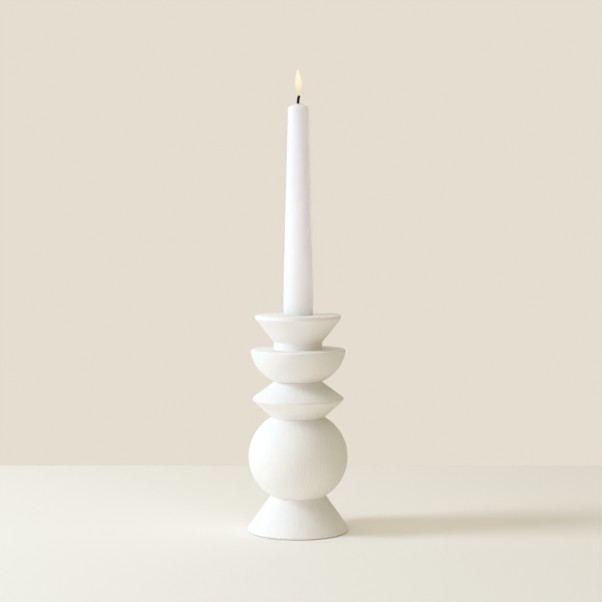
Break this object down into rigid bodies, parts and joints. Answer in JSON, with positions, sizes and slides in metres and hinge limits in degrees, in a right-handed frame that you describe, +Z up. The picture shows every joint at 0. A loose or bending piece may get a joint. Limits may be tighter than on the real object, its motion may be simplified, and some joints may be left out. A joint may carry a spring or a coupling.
{
  "type": "candlestick",
  "caption": "Matte white candlestick of stacked turned wood shapes, a cone foot, ball, double cone, bowl and cup, holding a white taper candle that lifts out.",
  "frame": {"origin": "on the central axis, at the plane that the felt pad stands on", "axes": "+Z up along the axis, -Y to the front, +X to the right"},
  "size_m": [0.077, 0.077, 0.3298],
  "materials": {
    "painted_wood": "matte warm white paint over turned wood, the grain just showing",
    "painted_steel": "matte warm white paint on pressed steel",
    "zinc_plated_steel": "zinc plated",
    "felt": "pressed wool felt",
    "wax": "satin paraffin wax",
    "wick": "braided cotton, burnt at its end"
  },
  "bodies": {
    "holder": {"base": "painted_wood", "ball": "painted_wood", "double_cone": "painted_wood", "bowl": "painted_wood", "cup": "painted_wood", "candle_socket": "painted_steel", "tie_rod": "zinc_plated_steel", "washer": "zinc_plated_steel", "nut": "zinc_plated_steel", "felt_pad": "felt"},
    "candle": {"candle": "wax", "wick": "wick"}
  },
  "joints": [
    {"name": "candle_lift", "type": "slide", "parent": "holder", "child": "candle", "axis": [0, 0, 1], "range_m": [0, 0.03]}
  ]
}
